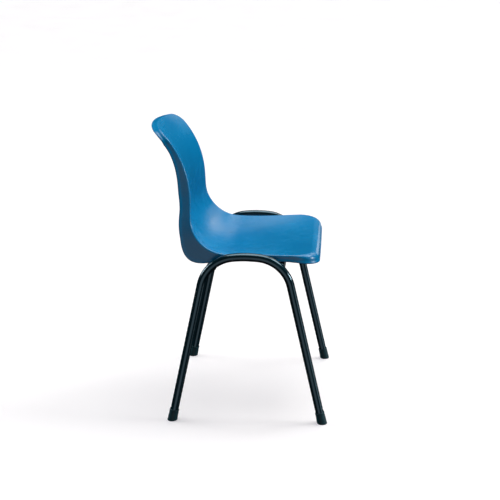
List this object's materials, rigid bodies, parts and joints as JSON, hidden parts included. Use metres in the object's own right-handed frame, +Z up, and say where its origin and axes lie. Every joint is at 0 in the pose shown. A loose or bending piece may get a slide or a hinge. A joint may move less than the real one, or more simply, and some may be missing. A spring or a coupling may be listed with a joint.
{
  "type": "student desk chair",
  "caption": "School chair with a one-piece moulded bucket shell screwed to two bent-tube side hoops, joined by cranked cross rails and standing on rubber foot ferrules.",
  "frame": {"origin": "on the floor, under the middle of the chair's overall box", "axes": "+Z up; the sitter faces -Y, so the back is towards +Y; +X is the sitter's left; X = 0 is the plane of symmetry"},
  "size_m": [0.467, 0.4834, 0.789],
  "materials": {
    "seat_plastic": "satin",
    "frame_enamel": "gloss",
    "zinc_steel": "satin",
    "disc_steel": "satin",
    "ferrule_rubber": "matte"
  },
  "bodies": {
    "root": {"seat_shell": "seat_plastic", "side_hoop_right": "frame_enamel", "side_hoop_left": "frame_enamel", "cross_rail_rear": "frame_enamel", "cross_rail_front": "frame_enamel", "fixing_plate_rear_right": "frame_enamel", "fixing_plate_rear_left": "frame_enamel", "fixing_plate_front_right": "frame_enamel", "fixing_plate_front_left": "frame_enamel", "washer_rear_right": "zinc_steel", "washer_rear_left": "zinc_steel", "washer_front_right": "zinc_steel", "washer_front_left": "zinc_steel", "shell_screw_rear_right": "zinc_steel", "shell_screw_rear_left": "zinc_steel", "shell_screw_front_right": "zinc_steel", "shell_screw_front_left": "zinc_steel", "ferrule_disc_rear_right": "disc_steel", "ferrule_disc_rear_left": "disc_steel", "ferrule_disc_front_right": "disc_steel", "ferrule_disc_front_left": "disc_steel", "foot_ferrule_rear_right": "ferrule_rubber", "foot_ferrule_rear_left": "ferrule_rubber", "foot_ferrule_front_right": "ferrule_rubber", "foot_ferrule_front_left": "ferrule_rubber"}
  },
  "joints": []
}
